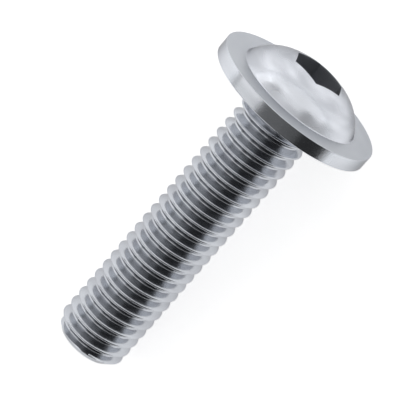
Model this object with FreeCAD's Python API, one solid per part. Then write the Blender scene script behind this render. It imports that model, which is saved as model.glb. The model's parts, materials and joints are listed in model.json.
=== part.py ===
import FreeCAD, Part
import math
import os

Vector = FreeCAD.Vector

# Driving sizes, in millimetres and degrees. The axis of the screw is z until it is laid down,
# its head is up, and its bearing face is at height 0.

# Shank, with the major diameter of its metric coarse thread
thread_diameter = 6.0
pitch = 1.0
thread_angle = 60.0
length_under_head = 25.0
tip_chamfer_angle = 45.0

# Plain neck between the thread and the head
neck_length = 0.55
neck_fillet = 0.4

# Flange and the domed button on it
flange_diameter = 13.6
flange_thickness = 1.1
flange_edge_round = 0.05
dome_diameter = 10.0
dome_rise = 2.5
dome_lean = 25.0
crown_share = 0.76
dome_foot_fillet = 0.12

# Hexagon socket
socket_across_flats = 4.0
socket_depth = 2.1
socket_floor_angle = 150.0
socket_turn = 7.5

# The turned surfaces start a little beside the line that the screw rests on, so that flat facets
# of their meshes straddle it
seam_turn = 72.0

# Shank sizes that follow: the tip ends at the root of the thread, the neck is as wide as its pitch cylinder
thread_radius = thread_diameter / 2
sharp_depth = pitch / (2 * math.tan(math.radians(thread_angle / 2)))
root_radius = thread_radius - sharp_depth * 17 / 24
neck_radius = thread_radius - sharp_depth * 3 / 8
tip_chamfer = (thread_radius - root_radius) * math.tan(math.radians(tip_chamfer_angle))
shoulder_height = -neck_length - (thread_radius - neck_radius)

# Head sizes that follow: the crown is an arc centred on the axis, with a share of the dome's diameter
# as its radius. The shoulder is a tighter arc, tangent to it, that leans in where it leaves the flange.
flange_radius = flange_diameter / 2
flange_inner = flange_radius - flange_edge_round
dome_top = flange_thickness + dome_rise
dome_radius = dome_diameter / 2
crown_radius = crown_share * dome_diameter
crown_centre = dome_top - crown_radius
lean_across = math.cos(math.radians(dome_lean))
lean_up = math.sin(math.radians(dome_lean))
foot_height = flange_thickness - crown_centre
foot_inside = crown_radius**2 - dome_radius**2 - foot_height**2
shoulder_round = foot_inside / (2 * (crown_radius - dome_radius * lean_across - foot_height * lean_up))
shoulder_centre = (dome_radius - shoulder_round * lean_across, flange_thickness - shoulder_round * lean_up)
shoulder_angle = math.degrees(math.atan2(shoulder_centre[1] - crown_centre, shoulder_centre[0]))

# The small fillet at the foot of the dome touches the flange and the shoulder
fillet_height = flange_thickness + dome_foot_fillet
fillet_reach = shoulder_round + dome_foot_fillet
fillet_angle = math.degrees(math.asin((fillet_height - shoulder_centre[1]) / fillet_reach))
fillet_place = shoulder_centre[0] + fillet_reach * math.cos(math.radians(fillet_angle))

# Socket sizes that follow: its depth counts from where the middle of a flat meets the crown
socket_flat = socket_across_flats / 2
socket_corner = socket_across_flats / math.sqrt(3)
socket_floor = crown_centre + math.sqrt(crown_radius**2 - socket_flat**2) - socket_depth


def line(start, end):
    return Part.makeLine(Vector(start[0], 0, start[1]), Vector(end[0], 0, end[1]))


def arc(centre, radius, first_angle, last_angle):
    curve = Part.makeCircle(radius, Vector(0, 0, 0), Vector(0, 0, 1), first_angle, last_angle)
    upright = FreeCAD.Rotation(Vector(1, 0, 0), 90)
    curve.Placement = FreeCAD.Placement(Vector(centre[0], 0, centre[1]), upright)
    return curve


def turned_body():
    # Half of the section, from the tip up the outside to the top of the dome, turned about the axis
    edge = flange_edge_round
    fillet = neck_fillet
    section = [
        line((0, -length_under_head), (root_radius, -length_under_head)),
        line((root_radius, -length_under_head), (thread_radius, tip_chamfer - length_under_head)),
        line((thread_radius, tip_chamfer - length_under_head), (thread_radius, shoulder_height)),
        line((thread_radius, shoulder_height), (neck_radius, -neck_length)),
        line((neck_radius, -neck_length), (neck_radius, -fillet)),
        arc((neck_radius + fillet, -fillet), fillet, 90, 180),
        line((neck_radius + fillet, 0), (flange_inner, 0)),
        arc((flange_inner, edge), edge, 270, 360),
        line((flange_radius, edge), (flange_radius, flange_thickness - edge)),
        arc((flange_inner, flange_thickness - edge), edge, 0, 90),
        line((flange_inner, flange_thickness), (fillet_place, flange_thickness)),
        arc((fillet_place, fillet_height), dome_foot_fillet, 180 + fillet_angle, 270),
        arc(shoulder_centre, shoulder_round, fillet_angle, shoulder_angle),
        arc((0, crown_centre), crown_radius, shoulder_angle, 90),
        line((0, dome_top), (0, -length_under_head)),
    ]
    body = Part.Face(Part.Wire(section)).revolve(Vector(0, 0, 0), Vector(0, 0, 1), 360)
    body.rotate(Vector(0, 0, 0), Vector(0, 0, 1), seam_turn)
    return body


def socket():
    # A hexagon with the shallow cone of the punch at its bottom
    corners = []
    for number in range(6):
        angle = math.radians(socket_turn + 30 + 60 * number)
        across = Vector(socket_corner * math.cos(angle), socket_corner * math.sin(angle), 0)
        corners.append(across + Vector(0, 0, socket_floor))
    hexagon = Part.Face(Part.makePolygon(corners + corners[:1]))
    prism = hexagon.extrude(Vector(0, 0, socket_depth + dome_top - flange_thickness))
    point_depth = socket_flat / math.tan(math.radians(socket_floor_angle / 2))
    point = Part.makeCone(0, socket_flat, point_depth, Vector(0, 0, socket_floor - point_depth))
    return prism.fuse(point)


def laid_down(screw):
    # The screw rests on the rim of its flange and on the lower end of its shank, head towards +X
    drop = flange_inner - thread_radius
    reach = length_under_head - tip_chamfer + flange_edge_round
    tilt = math.atan2(drop, reach) + math.asin(flange_edge_round / math.hypot(drop, reach))
    axis = Vector(math.cos(tilt), 0, math.sin(tilt))
    underside = Vector(math.sin(tilt), 0, -math.cos(tilt))
    turn = FreeCAD.Rotation(Vector(0, -1, 0), underside, axis, "ZYX")
    screw.Placement = FreeCAD.Placement(Vector(0, 0, 0), turn)
    box = screw.optimalBoundingBox(False)
    screw.translate(Vector(-box.Center.x, -box.Center.y, -box.ZMin))
    return screw


os.makedirs("parts", exist_ok=True)
screw = turned_body().cut(socket())
laid_down(screw.Solids[0]).exportStep("parts/screw.step")
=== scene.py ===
import json
import math

import bmesh
import bpy
import numpy as np
from mathutils import Matrix, Vector


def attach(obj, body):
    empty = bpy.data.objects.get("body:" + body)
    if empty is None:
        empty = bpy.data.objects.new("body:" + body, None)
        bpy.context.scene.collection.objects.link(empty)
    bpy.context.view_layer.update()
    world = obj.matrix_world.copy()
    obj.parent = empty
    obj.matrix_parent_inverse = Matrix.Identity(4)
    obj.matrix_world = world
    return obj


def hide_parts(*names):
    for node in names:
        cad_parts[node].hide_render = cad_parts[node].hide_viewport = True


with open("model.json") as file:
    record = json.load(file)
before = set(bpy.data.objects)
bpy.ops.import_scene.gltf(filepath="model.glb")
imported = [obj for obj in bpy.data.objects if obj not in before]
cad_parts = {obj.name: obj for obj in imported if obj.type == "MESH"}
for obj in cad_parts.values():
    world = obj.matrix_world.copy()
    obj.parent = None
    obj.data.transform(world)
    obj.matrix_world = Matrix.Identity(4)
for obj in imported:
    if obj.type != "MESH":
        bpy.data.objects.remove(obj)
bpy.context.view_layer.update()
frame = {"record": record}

# Sizes in millimetres and degrees. The screw is drawn upright, with its bearing face at height 0
# and its head up, and is then laid into the frame by the places and axes of its mounts.
MM = 0.001

# Thread
thread_diameter = 6.0
pitch = 1.0
thread_angle = 60.0
length_under_head = 25.0
tip_chamfer_angle = 45.0
first_crest_height = 0.538
run_out = 0.75
spare_turns = 2

# Neck
neck_length = 0.55
neck_fillet = 0.4

# Flange and dome
flange_diameter = 13.6
flange_thickness = 1.1
flange_edge_round = 0.05
dome_diameter = 10.0
dome_rise = 2.5
dome_lean = 25.0
crown_share = 0.76
dome_foot_fillet = 0.12

# Socket
socket_across_flats = 4.0
socket_depth = 2.1
socket_floor_angle = 150.0
socket_turn = 7.5
socket_rim_round = 0.05

# Mesh: the columns are spaced so that six of them meet the socket's corners, and one more ring of
# points lies under the flange
columns = 120
arc_step = 15.0
shoulder_step = 3.0
meeting_round = 0.05
seat_ring = 5.0
crown_rings = 18
merge_distance = 1e-4
shortest_edge = 1e-5
sharp_angle = 40.0

# Rings of points, as shares of the tip's radius, of the socket's depth and of its floor's radius
tip_shares = (0, 0.3, 0.6, 0.85, 0.97, 1)
wall_shares = (0.1, 0.4, 0.7, 0.95, 1)
floor_shares = (0.97, 0.7, 0.4, 0.15, 0)
rim_angles = (22.5, 45, 67.5, 90)

# Steel: the clouds' scale, for the two parts of a direction from the axis and for the way along the
# outside, the stretches of their noise over which colour and gloss change, and a fine grain
cloud_scale = (1.3, 1.3, 0.6)
cloud_detail = 1.0
colour_stretch = (0.32, 0.68)
gloss_stretch = (0.3, 0.7)
grain_scale = 6000.0
grain_detail = 2.0
grain_strength = 0.18
grain_depth = 0.02

# The parts of the screw that have a finish of their own; the shank's, the flange top's and the socket's
# colours also hold painted shade
SHANK_PAINTED_SHADE, FLANGE, FLANGE_TOP_PAINTED_SHADE, DOME, SOCKET_PAINTED_SHADE = range(5)

# Sizes that follow
thread_radius = thread_diameter / 2
sharp_depth = pitch / (2 * math.tan(math.radians(thread_angle / 2)))
thread_depth = sharp_depth * 17 / 24
crest_round = sharp_depth / 8
root_round = sharp_depth / 6
root_radius = thread_radius - thread_depth
neck_radius = thread_radius - sharp_depth * 3 / 8
shoulder_height = -neck_length - (thread_radius - neck_radius)
flange_radius = flange_diameter / 2
flange_inner = flange_radius - flange_edge_round
dome_radius = dome_diameter / 2
crown_radius = crown_share * dome_diameter
crown_centre = flange_thickness + dome_rise - crown_radius
lean_across = math.cos(math.radians(dome_lean))
lean_up = math.sin(math.radians(dome_lean))
foot_height = flange_thickness - crown_centre
foot_inside = crown_radius**2 - dome_radius**2 - foot_height**2
shoulder_round = foot_inside / (2 * (crown_radius - dome_radius * lean_across - foot_height * lean_up))
shoulder_centre = (dome_radius - shoulder_round * lean_across, flange_thickness - shoulder_round * lean_up)
shoulder_angle = math.degrees(math.atan2(shoulder_centre[1] - crown_centre, shoulder_centre[0]))
fillet_height = flange_thickness + dome_foot_fillet
fillet_reach = shoulder_round + dome_foot_fillet
fillet_angle = math.degrees(math.asin((fillet_height - shoulder_centre[1]) / fillet_reach))
fillet_place = shoulder_centre[0] + fillet_reach * math.cos(math.radians(fillet_angle))
socket_flat = socket_across_flats / 2
socket_corner = socket_across_flats / math.sqrt(3)
socket_rim = crown_centre + math.sqrt(crown_radius**2 - socket_flat**2)
socket_floor = socket_rim - socket_depth
column_step = 360 / columns
azimuths = (socket_turn + 30) % column_step + column_step * np.arange(columns)


def smooth_min(first, second, width):
    # The smaller of the two, with a round of the given width where they meet
    share = np.clip(0.5 + 0.5 * (second - first) / width, 0, 1)
    return second + (first - second) * share - width * share * (1 - share)


def row(radius, height):
    # One row of points around the axis; radius and height are numbers or one value a column
    turn = np.radians(azimuths)
    radius = radius + np.zeros(columns)
    height = height + np.zeros(columns)
    return np.stack([radius * np.cos(turn), radius * np.sin(turn), height], axis=1)


def arc_points(centre, radius, first_angle, last_angle, step=arc_step):
    count = max(2, math.ceil(abs(last_angle - first_angle) / step) + 1)
    angles = np.radians(np.linspace(first_angle, last_angle, count))
    return [(centre[0] + radius * math.cos(a), centre[1] + radius * math.sin(a)) for a in angles]


def thread_profile():
    # One pitch of the groove, from crest to crest: places along the axis and depths under the crest
    steep = 90 - thread_angle / 2
    angles = np.radians(np.arange(0, steep + 1, arc_step))
    crest = [(crest_round * math.sin(a), crest_round * (1 - math.cos(a))) for a in angles]
    root = [
        (pitch / 2 - root_round * math.sin(a), thread_depth - root_round * (1 - math.cos(a)))
        for a in angles[::-1]
    ]
    start, end = np.array(crest[-1]), np.array(root[0])
    flank = [tuple(start + (end - start) * share) for share in (1 / 3, 2 / 3)]
    half = crest + flank + root
    other = [(pitch - place, depth) for place, depth in half[-2::-1]]
    return np.array(half + other)


profile = thread_profile()


def shank_radius(height):
    # The grooved shank at one height a column, cut by the tip's cone and by the shoulder of the neck
    place = (height - first_crest_height - pitch * azimuths / 360) % pitch
    depth = np.interp(place, profile[:, 0], profile[:, 1])
    fade = np.clip((shoulder_height - height) / (run_out * pitch), 0, 1)
    grooved = thread_radius - depth * fade * fade * (3 - 2 * fade)
    tip = root_radius + (height + length_under_head) * math.tan(math.radians(90 - tip_chamfer_angle))
    shoulder = neck_radius - neck_length - height
    return smooth_min(smooth_min(grooved, tip, meeting_round), shoulder, meeting_round)


def thread_rows():
    # Rows that climb with the thread, held between the tip and the neck by spare turns beyond both
    lowest = math.floor(-length_under_head / pitch) - spare_turns
    rows = []
    for turn in range(lowest, spare_turns):
        for place, _ in profile[:-1]:
            climb = first_crest_height + (turn + azimuths / 360) * pitch + place
            height = np.clip(climb, -length_under_head, -neck_length)
            rows.append(row(shank_radius(height), height))
    return rows


def tip_rows():
    # The flat end of the shank, from the axis to the foot of the thread
    rim = shank_radius(np.full(columns, -length_under_head))
    return [row(rim * share, -length_under_head) for share in tip_shares]


def head_rows():
    # The neck, the flange and the dome, up to where the dome starts to turn into the hexagon
    edge = flange_edge_round
    upper_edge = flange_thickness - edge
    section = [(neck_radius, -neck_length)]
    section += arc_points((neck_radius + neck_fillet, -neck_fillet), neck_fillet, 180, 90)
    section += [(neck_radius + neck_fillet + edge, 0), (seat_ring, 0), (flange_inner - edge, 0)]
    section += arc_points((flange_inner, edge), edge, 270, 360)
    section += [(flange_radius, 2 * edge), (flange_radius, upper_edge - edge)]
    section += arc_points((flange_inner, upper_edge), edge, 0, 90)
    section += [(flange_inner - edge, flange_thickness), (fillet_place + edge, flange_thickness)]
    section += arc_points((fillet_place, fillet_height), dome_foot_fillet, 270, 180 + fillet_angle)
    section += arc_points(shoulder_centre, shoulder_round, fillet_angle, shoulder_angle, shoulder_step)
    return [row(radius, height) for radius, height in section]


def crown_height(radius):
    # Where the crown's arc is at a distance from the axis
    return crown_centre + np.sqrt(crown_radius**2 - radius**2)


def socket_rows():
    # Rings on the crown turn into the hexagon, which goes over its small round rim down to the floor
    off_flat = (azimuths - socket_turn + 30) % 60 - 30
    hexagon = socket_flat / np.cos(np.radians(off_flat))
    start = shoulder_centre[0] + shoulder_round * math.cos(math.radians(shoulder_angle))
    rim = hexagon + socket_rim_round
    rows = []
    for share in np.linspace(0, 1, crown_rings + 1)[1:]:
        radius = start + (rim - start) * share
        rows.append(row(radius, crown_height(radius)))
    for angle in np.radians(rim_angles):
        lower = crown_height(rim) - socket_rim_round * (1 - math.cos(angle))
        rows.append(row(rim - socket_rim_round * math.sin(angle), lower))
    top = crown_height(rim) - socket_rim_round
    for share in wall_shares:
        rows.append(row(hexagon, top + (socket_floor - top) * share))
    for share in floor_shares:
        radius = socket_flat * share
        sink = (socket_flat - radius) / math.tan(math.radians(socket_floor_angle / 2))
        rows.append(row(radius, socket_floor - sink))
    return rows


def grid_faces(count, first, climb=0):
    # Quads between rows; where the last column meets the first, the rows lie `climb` rows apart
    faces = []
    for number in range(count - 1):
        for column in range(columns):
            following = (column + 1) % columns
            lift = 0 if following else climb
            if number + 1 + lift < count:
                low = first + number * columns
                high = low + columns
                rise = lift * columns
                faces.append((low + column, low + following + rise, high + following + rise, high + column))
    return faces


def around_values(points):
    # For each point, its direction from the axis and how far it lies along the outside, for the material
    reach = np.hypot(points[:, 0], points[:, 1])
    turned = points[:, :2] / np.maximum(reach, 1e-6)[:, None]
    along = points[:, 2] - reach
    return np.column_stack([turned, along])


def screw_mesh():
    # The whole screw as one closed skin, upright and in millimetres
    plain = tip_rows()
    thread = thread_rows()
    head = head_rows() + socket_rows()
    points = np.concatenate(plain + thread + head)
    faces = grid_faces(len(plain), 0)
    faces += grid_faces(len(thread), len(plain) * columns, len(profile) - 1)
    faces += grid_faces(len(head), (len(plain) + len(thread)) * columns)
    mesh = bpy.data.meshes.new("screw_look")
    mesh.from_pydata(points.tolist(), [], faces)
    around = mesh.attributes.new("around", "FLOAT_VECTOR", "POINT")
    around.data.foreach_set("vector", around_values(points).ravel())
    shape = bmesh.new()
    shape.from_mesh(mesh)
    bmesh.ops.remove_doubles(shape, verts=shape.verts, dist=merge_distance)
    bmesh.ops.dissolve_degenerate(shape, edges=shape.edges, dist=shortest_edge)
    bmesh.ops.recalc_face_normals(shape, faces=shape.faces)
    shape.to_mesh(mesh)
    shape.free()
    return mesh


def screw_frame():
    # Where the frame's mounts put the screw: its bearing face, its axis and the side of azimuth 0
    mounts = {mount["name"]: mount for mount in frame["record"]["mounts"]}
    axis = Vector(mounts["hex_socket"]["axis"]).normalized()
    origin = Vector(mounts["hex_socket"]["pos_m"]) - axis * socket_rim * MM
    side = (Vector(mounts["bearing_face"]["pos_m"]) - origin).normalized()
    side = (side - axis * side.dot(axis)).normalized()
    turn = Matrix((side, axis.cross(side), axis)).transposed().to_4x4()
    return Matrix.Translation(origin) @ turn


def steel(name, darkest, lightest, smoothest, roughest, edge):
    # Satin metal: soft clouds over colour and gloss, as forming and tumbling leave them, and a fine grain.
    # The edge value darkens what it mirrors at a grazing angle.
    material = bpy.data.materials.new(name)
    material.use_nodes = True
    nodes, links = material.node_tree.nodes, material.node_tree.links
    shader = nodes["Principled BSDF"]
    shader.inputs["Metallic"].default_value = 1.0
    shader.inputs["Specular Tint"].default_value = (edge, edge, edge, 1)
    around = nodes.new("ShaderNodeAttribute")
    around.attribute_name = "around"
    stretch = nodes.new("ShaderNodeVectorMath")
    stretch.operation = "MULTIPLY"
    stretch.inputs[1].default_value = cloud_scale
    links.new(around.outputs["Vector"], stretch.inputs[0])
    clouds = nodes.new("ShaderNodeTexNoise")
    clouds.inputs["Scale"].default_value = 1.0
    clouds.inputs["Detail"].default_value = cloud_detail
    links.new(stretch.outputs["Vector"], clouds.inputs["Vector"])
    tone = nodes.new("ShaderNodeValToRGB")
    tone.color_ramp.elements[0].position = colour_stretch[0]
    tone.color_ramp.elements[0].color = darkest
    tone.color_ramp.elements[1].position = colour_stretch[1]
    tone.color_ramp.elements[1].color = lightest
    links.new(clouds.outputs["Fac"], tone.inputs["Fac"])
    links.new(tone.outputs["Color"], shader.inputs["Base Color"])
    gloss = nodes.new("ShaderNodeMapRange")
    gloss.inputs["From Min"].default_value = gloss_stretch[0]
    gloss.inputs["From Max"].default_value = gloss_stretch[1]
    gloss.inputs["To Min"].default_value = roughest
    gloss.inputs["To Max"].default_value = smoothest
    links.new(clouds.outputs["Fac"], gloss.inputs["Value"])
    links.new(gloss.outputs["Result"], shader.inputs["Roughness"])
    place = nodes.new("ShaderNodeTexCoord")
    grain = nodes.new("ShaderNodeTexNoise")
    grain.inputs["Scale"].default_value = grain_scale
    grain.inputs["Detail"].default_value = grain_detail
    links.new(place.outputs["Object"], grain.inputs["Vector"])
    bump = nodes.new("ShaderNodeBump")
    bump.inputs["Strength"].default_value = grain_strength
    bump.inputs["Distance"].default_value = grain_depth * MM
    links.new(grain.outputs["Fac"], bump.inputs["Height"])
    links.new(bump.outputs["Normal"], shader.inputs["Normal"])
    return material


def finish_and_shade_of(place):
    # Which finish a face has, by where its middle lies; the shank, the flange top and the socket take
    # steels darkened as painted shade
    reach = math.hypot(place.x, place.y)
    # The shank's faces take a steel coloured a little darker as painted shade
    if place.z < 0:
        return SHANK_PAINTED_SHADE
    # Faces inside the socket take a much darker steel: painted shade in the recess
    if reach < socket_corner and place.z < crown_height(reach) - socket_rim_round:
        return SOCKET_PAINTED_SHADE
    if reach < fillet_place:
        return DOME
    # The flange top's faces take a steel coloured a little darker as painted shade, with a rougher gloss of
    # its own
    if place.z > flange_thickness - flange_edge_round / 2:
        return FLANGE_TOP_PAINTED_SHADE
    return FLANGE


def make_screw():
    # Each finish has its darkest and lightest colour, its smoothest and roughest value, and its edge. The
    # shank and the flange top are coloured a little darker than the flange side, and the socket much
    # darker, as painted shade; their gloss values are their own
    mesh = screw_mesh()
    finishes_and_shades = (
        # Painted shade: the shank's colours lie a little below the flange side's
        steel("shank steel with painted shade", (0.51, 0.525, 0.56, 1), (0.57, 0.59, 0.625, 1), 0.17, 0.22, 0.60),
        steel("flange steel", (0.56, 0.58, 0.615, 1), (0.66, 0.68, 0.72, 1), 0.17, 0.24, 0.42),
        # Painted shade: the flange top's colours lie a little below the flange side's; its rougher gloss is
        # its own
        steel("flange top steel with painted shade", (0.54, 0.56, 0.595, 1), (0.60, 0.62, 0.655, 1), 0.38, 0.46, 0.45),
        steel("dome steel", (0.52, 0.537, 0.575, 1), (0.70, 0.72, 0.765, 1), 0.20, 0.32, 0.42),
        # Painted shade: the socket's colours lie far below the rest of the steel, for the shade in its
        # recess
        steel("socket steel with painted shade", (0.32, 0.33, 0.35, 1), (0.40, 0.41, 0.435, 1), 0.34, 0.42, 0.75),
    )
    for finish in finishes_and_shades:
        mesh.materials.append(finish)
    for face in mesh.polygons:
        face.use_smooth = True
        face.material_index = finish_and_shade_of(face.center)
    mesh.transform(screw_frame() @ Matrix.Scale(MM, 4))
    mesh.set_sharp_from_angle(angle=math.radians(sharp_angle))
    screw = bpy.data.objects.new("screw_look", mesh)
    bpy.context.scene.collection.objects.link(screw)
    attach(screw, "root")
    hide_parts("screw")


# Camera, fitted to the photograph. It stands in millimetres in the screw's own frame.
camera_place = (0.0, -158.478, 50.033)
aim_side = -0.534
aim_height = -10.165
camera_roll = 40.88
camera_lens = 205.08
camera_sensor = 36
camera_clip = (0.01, 20)

# Floor, in metres, and the world, which is pale up to one elevation and dark from another
floor_size = 6
floor_darkest = (0.86, 0.86, 0.865, 1)
floor_lightest = (0.88, 0.88, 0.885, 1)
floor_grain_scale = 30.0
floor_glow = 0.68
world_colour = (0.96, 0.98, 1.0, 1)
world_strength = 0.03
horizon_full = 6.0
horizon_end = 10.0

# Lamps, all at one distance from the screw in metres: azimuth, elevation, the angles that each spans
# across and along the screw, and its radiance. Directions are in the screw's own frame: azimuth 0 is
# the camera's side, it grows towards the right of the picture, and elevation grows from square to the
# axis to the head.
lamp_distance = 0.4
lamps = (
    ("head", 0, 79, 90, 27, 0.98),
    ("brow", -4, 55, 42, 22, 1.00),
    ("brow left", -62, 56, 30, 22, 0.25),
    ("brow right", 60, 57, 33, 22, 0.17),
    ("front high", -30, 34, 66, 24, 0.82),
    ("front", -20, 11, 60, 22, 0.62),
    ("front low", 0, -14, 60, 18, 0.11),
    ("front under", -10, -34, 33, 24, 0.19),
    ("left", -70, 11, 40, 22, 0.68),
    ("left high", -80, 34, 17, 24, 1.20),
    ("left low", -50, -11, 40, 22, 1.07),
    ("left edge", -80, -11, 20, 22, 0.46),
    ("left under", -50, -34, 33, 24, 0.50),
    ("right", 80, 0, 20, 44, 0.46),
    ("right high", 70, 34, 33, 24, 0.58),
    ("right middle", 30, 34, 33, 24, 0.48),
    ("tip", -45, -60, 45, 28, 1.15),
    ("foot", 0, -80, 50, 24, 0.55),
)


def direction(azimuth, elevation):
    # A direction from the screw, in the frame
    a, e = math.radians(azimuth), math.radians(elevation)
    local = Vector((math.sin(a) * math.cos(e), -math.cos(a) * math.cos(e), math.sin(e)))
    return screw_frame().to_3x3() @ local


def seen_share(nodes, links, strength):
    # The strength as a socket, for rays that show the background: from the camera, off metal, through glass
    path = nodes.new("ShaderNodeLightPath")
    seen = path.outputs["Is Camera Ray"]
    for ray in ("Is Glossy Ray", "Is Transmission Ray"):
        either = nodes.new("ShaderNodeMath")
        either.operation = "MAXIMUM"
        links.new(seen, either.inputs[0])
        links.new(path.outputs[ray], either.inputs[1])
        seen = either.outputs["Value"]
    product = nodes.new("ShaderNodeMath")
    product.operation = "MULTIPLY"
    product.inputs[1].default_value = strength
    links.new(seen, product.inputs[0])
    return product.outputs["Value"]


def make_floor():
    # A white floor, also where the camera or the metal sees it, that still takes the screw's shadow
    bpy.ops.mesh.primitive_plane_add(size=floor_size)
    floor = bpy.context.object
    floor.name = "floor"
    material = bpy.data.materials.new("floor")
    material.use_nodes = True
    nodes, links = material.node_tree.nodes, material.node_tree.links
    shader = nodes["Principled BSDF"]
    shader.inputs["Roughness"].default_value = 1.0
    shader.inputs["Specular IOR Level"].default_value = 0.0
    grain = nodes.new("ShaderNodeTexNoise")
    grain.inputs["Scale"].default_value = floor_grain_scale
    tone = nodes.new("ShaderNodeValToRGB")
    tone.color_ramp.elements[0].color = floor_darkest
    tone.color_ramp.elements[1].color = floor_lightest
    links.new(grain.outputs["Fac"], tone.inputs["Fac"])
    links.new(tone.outputs["Color"], shader.inputs["Base Color"])
    glow = nodes.new("ShaderNodeEmission")
    links.new(seen_share(nodes, links, floor_glow), glow.inputs["Strength"])
    both = nodes.new("ShaderNodeAddShader")
    links.new(shader.outputs["BSDF"], both.inputs[0])
    links.new(glow.outputs["Emission"], both.inputs[1])
    links.new(both.outputs["Shader"], nodes["Material Output"].inputs["Surface"])
    floor.data.materials.append(material)


def lamp_place(azimuth, elevation):
    # Where a lamp hangs: its local Y runs towards the head and its Z away from the screw
    away = direction(azimuth, elevation)
    along = direction(azimuth, elevation + 90)
    turn = Matrix((along.cross(away), along, away)).transposed().to_4x4()
    middle = screw_frame() @ Vector((0, 0, aim_height * MM))
    return Matrix.Translation(middle + away * lamp_distance) @ turn


def lamp_size(angle):
    # The width of a lamp that spans an angle
    return 2 * lamp_distance * math.tan(math.radians(angle / 2))


def softbox(name, azimuth, elevation, across, along, radiance):
    # A lamp that looks equally bright whatever its size
    data = bpy.data.lights.new(name, "AREA")
    data.shape = "RECTANGLE"
    data.size, data.size_y = lamp_size(across), lamp_size(along)
    data.energy = radiance * math.pi * data.size * data.size_y
    light = bpy.data.objects.new(name, data)
    light.matrix_world = lamp_place(azimuth, elevation)
    bpy.context.scene.collection.objects.link(light)


def make_world():
    # Nearly dark, with a pale rim at the horizon that goes on from the far floor
    world = bpy.data.worlds.new("studio")
    world.use_nodes = True
    bpy.context.scene.world = world
    nodes, links = world.node_tree.nodes, world.node_tree.links
    place = nodes.new("ShaderNodeTexCoord")
    split = nodes.new("ShaderNodeSeparateXYZ")
    links.new(place.outputs["Generated"], split.inputs["Vector"])
    rim = nodes.new("ShaderNodeMapRange")
    rim.inputs["From Min"].default_value = math.sin(math.radians(horizon_full))
    rim.inputs["From Max"].default_value = math.sin(math.radians(horizon_end))
    rim.inputs["To Min"].default_value = 1.0
    rim.inputs["To Max"].default_value = 0.0
    links.new(split.outputs["Z"], rim.inputs["Value"])
    strength = nodes.new("ShaderNodeMath")
    strength.operation = "MULTIPLY_ADD"
    strength.inputs[2].default_value = world_strength
    links.new(rim.outputs["Result"], strength.inputs[0])
    links.new(seen_share(nodes, links, floor_glow), strength.inputs[1])
    back = nodes["Background"]
    back.inputs["Color"].default_value = world_colour
    links.new(strength.outputs["Value"], back.inputs["Strength"])


def make_camera():
    # The camera looks at a point beside the axis, and its roll turns the screw as in the photograph
    data = bpy.data.cameras.new("camera")
    data.sensor_width = camera_sensor
    data.lens = camera_lens
    data.clip_start, data.clip_end = camera_clip
    camera = bpy.data.objects.new("camera", data)
    place = screw_frame() @ (Vector(camera_place) * MM)
    aim = screw_frame() @ (Vector((aim_side, 0, aim_height)) * MM)
    look = (aim - place).normalized()
    axis = direction(0, 90)
    up = (axis - look * axis.dot(look)).normalized()
    right = look.cross(up)
    roll = math.radians(camera_roll)
    camera_up = up * math.cos(roll) - right * math.sin(roll)
    turn = Matrix((look.cross(camera_up), camera_up, -look)).transposed()
    camera.rotation_mode = "QUATERNION"
    camera.rotation_quaternion = turn.to_quaternion()
    camera.location = place
    bpy.context.scene.collection.objects.link(camera)
    bpy.context.scene.camera = camera


make_screw()
make_floor()
make_world()
for lamp in lamps:
    softbox(*lamp)
make_camera()
bpy.context.scene.view_settings.view_transform = "Standard"
